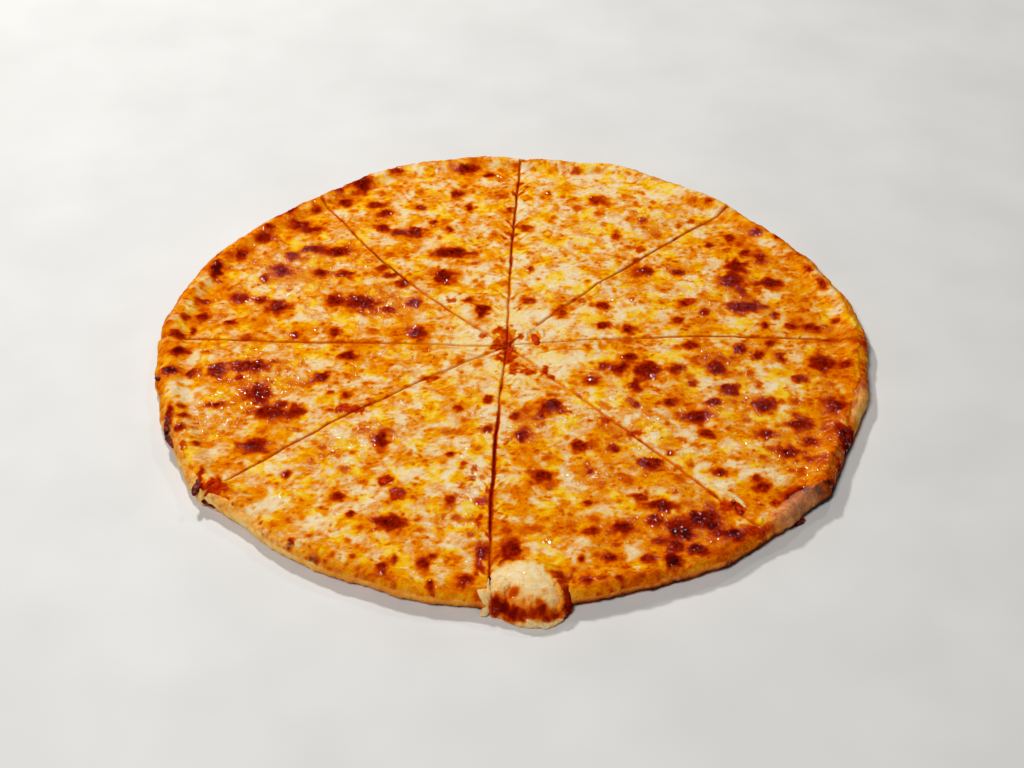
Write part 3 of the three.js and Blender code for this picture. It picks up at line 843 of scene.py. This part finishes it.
def bake_crust(number, piece, edge):
    """A slice of crust: an uneven bumpy rim, browned underneath, with a pale crumb at its cuts."""
    spots, normals = places(piece)
    distance, bearing = from_hub(spots[:, 0], spots[:, 1])
    depth = edge.depth(distance, bearing)
    outer = fade(depth, 8, 20)
    x, y, z = spots.T.copy()
    lumps = 0.55 * cloud(x, y + z, 9, 201, 3) + 0.28 * cloud(x + z, y, 3, 211, 2)
    spots += normals * (outer * smooth(z, 0.3, 2.5) * lumps)[:, None]
    draw_in(spots, 0.75 * fade(distance, 2, 9))
    gap = close_cuts(number, spots, shut)
    below = smooth(-normals[:, 2], 0.3, 0.8)
    wall = fade(gap, 0.3, 0.6) * fade(np.abs(normals[:, 2]), 0.2, 0.45) * smooth(depth, 1.5, 4)
    foot = fade(z, 1.5, 6.0) * (1 - below)
    baked = through(RIM_BROWN, bearing) + 0.16 * cloud(x, y, 10, 221, 3) + 0.08 * smooth(z, 6, 9)
    # The foot of the wall is darkened partly as browned dough and partly as painted shade.
    baked += foot * through(RIM_FOOT_SHADE_AND_BROWN, bearing) + 0.08 * cloud(x, y + z, 3, 225, 2)
    baked += below * (0.2 + 0.14 * cloud(x, y, 6, 231, 3))
    heat = read(HEAT, spots[:, 0], spots[:, 1])
    ragged = 1.3 * cloud(x, y, 6, 241, 3)
    cover = through(RIM_COVER, bearing)
    low = 4.5 - 3 * smooth(cover, 0.9, 1)
    cover = np.maximum(cover * smooth((z + 0.6 * ragged - low) / 2.5, 0, 1), smooth(depth + ragged, 3, 6))
    cover = cover * (1 - below)
    dry = through(RIM_DRY, bearing) * smooth(z + ragged, 1, 4) * (1 - below)
    shine = np.maximum(0.8 * cover, 0.5 * smooth(bearing, 274, 282) * smooth(z, 2, 5)) * (1 - dry)
    heat = np.maximum(heat + 0.08, 0.38 + 0.10 * cloud(x, y, 4, 245, 3))
    cream = read(CREAM, spots[:, 0], spots[:, 1]) * (0.3 + 0.7 * smooth(depth, 5, 10))
    red = read(RED, spots[:, 0], spots[:, 1]) * 0.7
    paint(piece, baked=baked, browning=heat, crumb=np.maximum(wall, dry), cover=cover, wet=shine,
          tomato=red, cream=cream)
    put(piece, spots)


def spread_sauce(number, piece, edge):
    """A slice's sauce: it fills the space between crust and cheese, and wells up at the hub."""
    spots, normals = places(piece)
    distance, bearing = from_hub(spots[:, 0], spots[:, 1])
    draw_in(spots, 0.85 * fade(distance, 2.6, 9))
    spots[:, 2] += 0.28 * normals[:, 2] - 2.2 * fade(edge.depth(distance, bearing), 12, 17)
    pool = fade(distance, 3, 9) * (normals[:, 2] > 0.3)
    spots[:, 2] += pool * (1.2 + 0.4 * noise(spots[:, 0], spots[:, 1], 2.5, 301))
    close_cuts(number, spots, shut)
    put(piece, spots)


def lobe_share(number, skin, distance, bearing, depth):
    """How far each vertex lies on the lobe over the edge, and how far it is near it."""
    on_lobe, near = np.zeros_like(distance), np.zeros_like(distance)
    if number != FRONT_CUT:
        return on_lobe, near
    past = past_cut(FRONT_CUT, distance, bearing)
    for along, out, half, height, least in LOBE_DOMES:
        off = np.hypot(past - along, distance - out)
        rise = height * np.sqrt(np.clip(1 - (off / half) ** 2, 0, 1)) - skin
        on_lobe = np.maximum(on_lobe, smooth(rise, least, least + 1) * (off < half))
        near = np.maximum(near, fade(off - half, 2, 9))
    return np.maximum(on_lobe, fade(depth, 2.5, 4.5)), near


def edge_of(depth, bearing):
    """The depth at which a piece of cheese ends, at each vertex's bearing."""
    bins = bearing.astype(int) % 360
    least = np.full(360, np.inf)
    np.minimum.at(least, bins, depth)
    least = np.minimum(np.maximum(least, 5.0), np.where(np.isinf(least), 8.0, 12.0))
    return by_degree(least, bearing)


def melt_cheese(number, piece, edge):
    """A slice's cheese: blisters and curds on top, lips that sink into the cuts, and a ragged outer end."""
    spots, normals = places(piece)
    gap = close_cuts(number, spots, groove_half_width)
    distance, bearing = from_hub(spots[:, 0], spots[:, 1])
    draw_in(spots, TIP_REACH[number - 1] * fade(distance, 7, 22) / np.maximum(distance, 1))
    x, y, z = spots.T.copy()
    distance, bearing = from_hub(x, y)
    depth = edge.depth(distance, bearing)
    upper = smooth(normals[:, 2], -0.2, 0.5)
    skin = edge.skin(x, y)
    on_lobe, near_lobe = lobe_share(number, skin, distance, bearing, depth)
    # The outer end is drawn out over the rim, thins and sinks into it, further in at some places than others.
    end = edge_of(depth, bearing)
    bare = through(BARE_RIM, bearing) + 1.2 * noise(x, y, 14, 411)
    bare = bare + (end - bare) * near_lobe
    outward = (end - bare) * fade(depth, end, 24)
    over_skin = z - skin
    x, y = (hub + (v - hub) * (1 + outward / distance) for v, hub in ((x, HUB[0]), (y, HUB[1])))
    inside = depth - outward - bare
    film = fade(inside, 3, 9) * (1 - on_lobe)
    drop = 1.1 * fade(inside + 1.2 * cloud(x, y, 5, 401, 3), 0.4, 2.6) * (1 - on_lobe)
    new_z = np.where(depth < 26, edge.skin(x, y) + over_skin - 1.4 * film - drop, z)
    new_z = new_z + (z - new_z) * on_lobe
    # Relief on top, and a groove with raised lips at the cuts.
    groove = fade(gap, 0.1, 0.8)
    lip = np.exp(-((gap - 1.6) / 0.9) ** 2)
    relief = read(LIFT, x, y) * (1 - 0.8 * film)
    new_z += upper * (relief * (1 - 0.6 * groove) - 1.2 * groove + 0.12 * lip)
    spots[:, 0], spots[:, 1], spots[:, 2] = x, y, new_z
    # Saucy edges at the cuts, with browning along each groove that is partly painted shade, most of all at
    # the open part of the front one.
    heat, cream, red, wet = (read(field, x, y) for field in (HEAT, CREAM, RED, WET))
    at_cut = fade(gap, 0.3, 1.0)
    along = noise(distance, bearing // 8, 7, 441)
    seam = 0.6 * smooth(along, 0.3, 0.7) * fade(gap - 0.5 * cloud(x, y, 2, 445, 2), 0.6, 2.0)
    red = np.maximum(red, seam)
    at_front = np.abs(past_cut(FRONT_CUT, distance, bearing)) < 3
    at_front = at_front * smooth(distance, *GAPES_FROM) * (1 - smooth(distance, *SAUCY_TO))
    # Painted shade: the cheese along each groove is browned where the groove's shade falls.
    heat = heat + (0.46 + 0.20 * smooth(distance, 30, 90) + 0.18 * at_front - heat) * at_cut * 0.9
    red = np.maximum(red, 0.9 * at_front * fade(gap - 0.4 * cloud(x, y, 2.5, 447, 2), 0.5, 1.5))
    if number == FRONT_CUT:
        mid_x, mid_y, half_x, half_y = oval(*LOBE_TOP)
        off = np.hypot((x - mid_x) / half_x, (y - mid_y) / half_y) + 0.15 * cloud(x, y, 4, 449, 2)
        share = np.maximum(on_lobe * fade(depth, 5, 10), fade(off, 0.8, 1.1)) * (1 - 0.8 * at_cut)
        heat, cream, red, wet = mark_lobe(spots, share, (heat, cream, red, wet))
    wet = np.maximum(wet * (1 - at_cut), at_front * at_cut)
    paint(piece, browning=heat, cream=cream, tomato=red, wet=wet)
    put(piece, spots)


def lobe_browning_and_shade(spots):
    """The browning of the lobe over the edge: pale, with its own marks, those down its right edge partly
    painted shade.
    """
    x, y, z = spots.T
    brown = 0.11 + 0.13 * cloud(x, y + z, 5, 421, 4, 0.65)
    for column, row, half, dark in LOBE_MARKS_AND_SHADE:
        off = spots - landing(column, row) + 1.2 * cloud(x, z, 3, 431, 2)[:, None]
        brown += (dark - brown) * soft_spot(np.linalg.norm(off, axis=1) / half, 4)
    return brown


def mark_lobe(spots, share, fields):
    """The lobe's own finish and relief, over a share of each vertex."""
    heat, cream, red, wet = fields
    heat = heat + (lobe_browning_and_shade(spots) - heat) * share
    cream = cream + (LOBE_CREAM - cream) * share
    wet = wet + (LOBE_OIL - wet) * share
    spots[:, 2] += 0.30 * share * cloud(spots[:, 0], spots[:, 1] + spots[:, 2], 3.2, 425, 3)
    return heat, cream, red * (1 - share), wet


# ---------------------------------------------------------------- the pizza
CRUST, SAUCE, CHEESE = crust_finish(), sauce_finish(), cheese_finish()


def dress(piece, slot, finish):
    """A finish on a piece that rides on the root."""
    piece.data.materials.clear()
    piece.data.materials.append(finish)
    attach(piece, "root")


def finished(piece, node, slot, finish):
    """A dressed piece in the place of a node."""
    dress(piece, slot, finish)
    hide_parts(node)


def make_pizza():
    """Eight slices, each of crust, sauce and cheese."""
    crusts = {n: remeshed(copy_of(f"crust_{n}", f"baked_crust_{n}"), CRUST_VOXEL, 2) for n in SLICES}
    edge = Edge(crusts.values())
    for number, piece in crusts.items():
        bake_crust(number, piece, edge)
        finished(piece, f"crust_{number}", "crust", CRUST)
    for number in SLICES:
        piece = copy_of(f"sauce_{number}", f"tomato_sauce_{number}")
        bpy.ops.object.mode_set(mode="EDIT")
        bpy.ops.mesh.subdivide(number_cuts=SAUCE_SPLITS)
        bpy.ops.object.mode_set(mode="OBJECT")
        bpy.ops.object.shade_smooth()
        spread_sauce(number, piece, edge)
        finished(piece, f"sauce_{number}", "sauce", SAUCE)
    for number in SLICES:
        piece = copy_of(f"cheese_{number}", f"melted_cheese_{number}")
        remeshed(piece, CHEESE_VOXEL, 2)
        melt_cheese(number, piece, edge)
        finished(piece, f"cheese_{number}", "cheese", CHEESE)


make_pizza()


def strung(strand):
    """Place and radius in metres of the balls along one strand."""
    strand = np.array(strand, dtype=float)
    for step in np.linspace(0, len(strand) - 1, BALLS_PER_STOP * len(strand)):
        yield [np.interp(step, range(len(strand)), strand[:, k]) * MM for k in range(4)]


def lump(name, strands, squash=1.0):
    """One closed blob along strands of place and radius in millimetres, uneven and a little softened."""
    bpy.ops.object.select_all(action="DESELECT")
    balls = []
    for strand in strands:
        for *place, radius in strung(strand):
            bpy.ops.mesh.primitive_ico_sphere_add(subdivisions=2, radius=radius, location=place)
            balls.append(bpy.context.object)
            balls[-1].scale = (1, 1, squash)
            bpy.ops.object.transform_apply()
    for ball in balls:
        ball.select_set(True)
    bpy.ops.object.join()
    piece = remeshed(bpy.context.object, BIT_VOXEL, 3)
    piece.name = name
    spots, normals = places(piece)
    x, y, z = spots.T
    spots += normals * (0.4 * cloud(x + z, y - z, 2.4, 501, 3))[:, None]
    spots[:, 2] = np.maximum(spots[:, 2], 0.1)
    put(piece, spots)
    return piece


# Burnt bubbles along the rim, and a bit of tomato near the hub: column, row, height and radius at each stop.
BUBBLES = [[(171, 408, 8.8, 0.9), (169, 415, 8.9, 1.4), (167, 424, 8.6, 1.5), (166, 431, 8.2, 1.1)],
           [(166, 433, 7.2, 0.8), (168, 438, 7.0, 1.5), (171, 443, 6.8, 1.5), (173, 447, 7.0, 0.8)],
           [(200, 468, 9, 0.9), (199, 476, 9, 1.4), (198, 484, 8.8, 1.4), (195, 490, 8.2, 1.9),
            (194, 494, 8, 1.2)],
           [(201, 498, 4.9, 0.9), (205, 501, 4.6, 1.5), (210, 504, 4.4, 1.5), (215, 507, 4.4, 0.7)],
           [(156, 378, 8, 0.8), (159, 379, 8.2, 1.4), (163, 381, 8, 0.9)],
           [(795, 525, 1.6, 0.9), (799, 522, 1.8, 1.6), (803, 519, 2, 1.0)]]
TOMATO_BIT = [(534, 336, 8.6, 1.5), (536, 340, 8.6, 2.0), (537, 344, 8.4, 1.6)]


def seen(stops):
    """Stops given by column, row, height and radius, as places in millimetres and radius."""
    return [(*at_height(column, row, height), radius) for column, row, height, radius in stops]


def on_skin(stops, sunk):
    """Stops given by column, row and radius on the pizza's skin, sunk into it by a share of the radius."""
    strand = []
    for column, row, radius in stops:
        place = landing(column, row) + sunk * radius * ray(column, row)
        strand.append((*place, radius))
    return strand


# Bits of cheese: the drip beside the front cut and its foot, the folds that join the lobe to the rim, the
# lobe's right edge, dark with browning and painted shade, and its pale lip, the lip of a cut, and a curl
# round the bit of tomato. Each has strands of column, row, sometimes height, and radius, how far they are
# sunk into the skin, and its cream and oil. Where no height is given they lie on the skin.
CHEESE_BITS = {
    "cheese_drip": ([[(478, 591, 1.0), (482, 595, 1.8), (485, 600, 1.8), (487, 604, 1.2), (487, 607, 1.1)],
                     [(483, 590, 1.2), (485, 595, 1.7), (487, 600, 1.5)],
                     [(488, 580, 0.6), (488, 587, 1.0), (488, 594, 1.3), (487, 600, 1.4)]], 0.5, 0.65, 0.7),
    "drip_foot": ([[(487, 603, 5.4, 1.0), (487, 607, 3.8, 1.2), (486, 611, 2.1, 1.7), (484, 613, 1.7, 1.5),
                    (481, 614, 1.4, 1.0)]], 0, 0.9, 0.6),
    "cheese_fold": ([[(494, 577, 1.5), (499, 579, 1.9), (505, 581, 2.0)],
                     [(495, 582, 2.0), (502, 584, 2.1), (508, 585, 1.8)],
                     [(495, 587, 2.1), (500, 589, 2.1), (505, 590, 2.0)],
                     [(495, 593, 2.1), (501, 594, 2.2)],
                     [(496, 599, 2.3), (502, 601, 2.5)],
                     [(496, 605, 2.2), (501, 608, 2.3)]], 0.6, 0.7, 0.7),
    "lobe_edge": ([[(556, 581, 1.3), (561, 583, 1.6), (565, 588, 1.7), (567, 595, 1.7), (567, 603, 1.8)],
                   [(567, 603, 1.8), (566, 610, 2.0), (561, 615, 1.6)],
                   [(558, 587, 1.6), (561, 594, 1.8), (562, 602, 1.8), (560, 609, 1.8)]], 0.5, 0.5, 0.9),
    "lobe_lip": ([[(528, 621, 0.8), (536, 624, 1.2), (545, 626, 1.4), (554, 624, 1.2), (562, 619, 0.9)]],
                 0.2, 0.9, 0.6),
    "cut_lip": ([[(712, 487, 0.9), (722, 491, 1.4), (732, 496, 1.6), (740, 502, 1.4), (745, 507, 0.7)]],
                0.84, 0.7, 0.9),
    "cheese_curl": ([[(526, 340, 1.0), (526, 335, 1.3), (529, 331, 1.6), (535, 329, 1.7), (541, 331, 1.4),
                      (543, 337, 1.0)]], 0.72, 1.0, 0.4)}
MARKED_BITS = ("cheese_fold", "lobe_edge")  # these take the lobe's own marks of browning and painted shade, and the others are pale


def cheese_bit(name, strands, sunk, cream, oil):
    """One of the bits, with its finish painted on."""
    piece = lump(name, [seen(stops) if len(stops[0]) == 4 else on_skin(stops, sunk) for stops in strands])
    spots = places(piece)[0]
    if name in MARKED_BITS:
        brown = lobe_browning_and_shade(spots)
    else:
        brown = 0.19 + 0.12 * cloud(spots[:, 0], spots[:, 1] + spots[:, 2], 3, 511, 2)
    even = np.ones(len(spots))
    paint(piece, browning=brown, cream=cream * even, wet=oil * even, tomato=0 * even)
    return piece, "cheese", CHEESE


def small_things():
    """Bits of cheese, burnt bubbles at the rim and a bit of tomato near the hub."""
    char = char_finish()
    things = [cheese_bit(name, *sort) for name, sort in CHEESE_BITS.items()]
    for number, stops in enumerate(BUBBLES, start=1):
        things.append((lump(f"charred_bubble_{number}", [seen(stops)], squash=0.6), "cheese", char))
    things.append((lump("tomato_bit", [seen(TOMATO_BIT)], squash=0.5), "sauce", SAUCE))
    for thing in things:
        dress(*thing)


small_things()


# ---------------------------------------------------------------- table, light and camera
TABLE_WIDTH = 6  # in metres
ROOM_LIGHT = 0.04  # strength of the light from all round


def add_floor():
    """A wide table top under the pizza."""
    bpy.ops.mesh.primitive_plane_add(size=TABLE_WIDTH, location=(0, 0, 0))
    floor = bpy.context.object
    floor.name = "table"
    floor.data.materials.append(floor_finish())


def add_lamp(name, place, size, power, glints=True):
    """A soft square lamp that faces the pizza, with its place and size in metres and its power in watts."""
    light = bpy.data.lights.new(name, "AREA")
    light.size, light.energy = size, power
    lamp = bpy.data.objects.new(name, light)
    lamp.location = place
    lamp.rotation_euler = (-Vector(place)).to_track_quat("-Z", "Y").to_euler()
    lamp.visible_glossy = glints
    bpy.context.collection.objects.link(lamp)


def add_room():
    """Even white light from all round, and colours shown as they are."""
    world = bpy.data.worlds.new("room")
    world.use_nodes = True
    world.node_tree.nodes["Background"].inputs["Color"].default_value = (1, 1, 1, 1)
    world.node_tree.nodes["Background"].inputs["Strength"].default_value = ROOM_LIGHT
    bpy.context.scene.world = world
    bpy.context.scene.view_settings.view_transform = "Standard"


def add_camera():
    """The camera, in its own place and tilt."""
    lens = bpy.data.cameras.new("camera")
    lens.lens, lens.sensor_width = LENS, SENSOR_WIDTH
    camera = bpy.data.objects.new("camera", lens)
    camera.matrix_world = Matrix.Translation(Vector(EYE * MM)) @ TILT.to_4x4()
    bpy.context.collection.objects.link(camera)
    bpy.context.scene.camera = camera


add_floor()
add_lamp("key", (-0.48, 0.85, 0.98), 0.12, 12.4)
add_lamp("fill", (-0.5, -1.1, 1.5), 0.5, 22, glints=False)
add_lamp("accent", (0.45, 1.0, 1.0), 0.08, 2.2)
add_room()
add_camera()
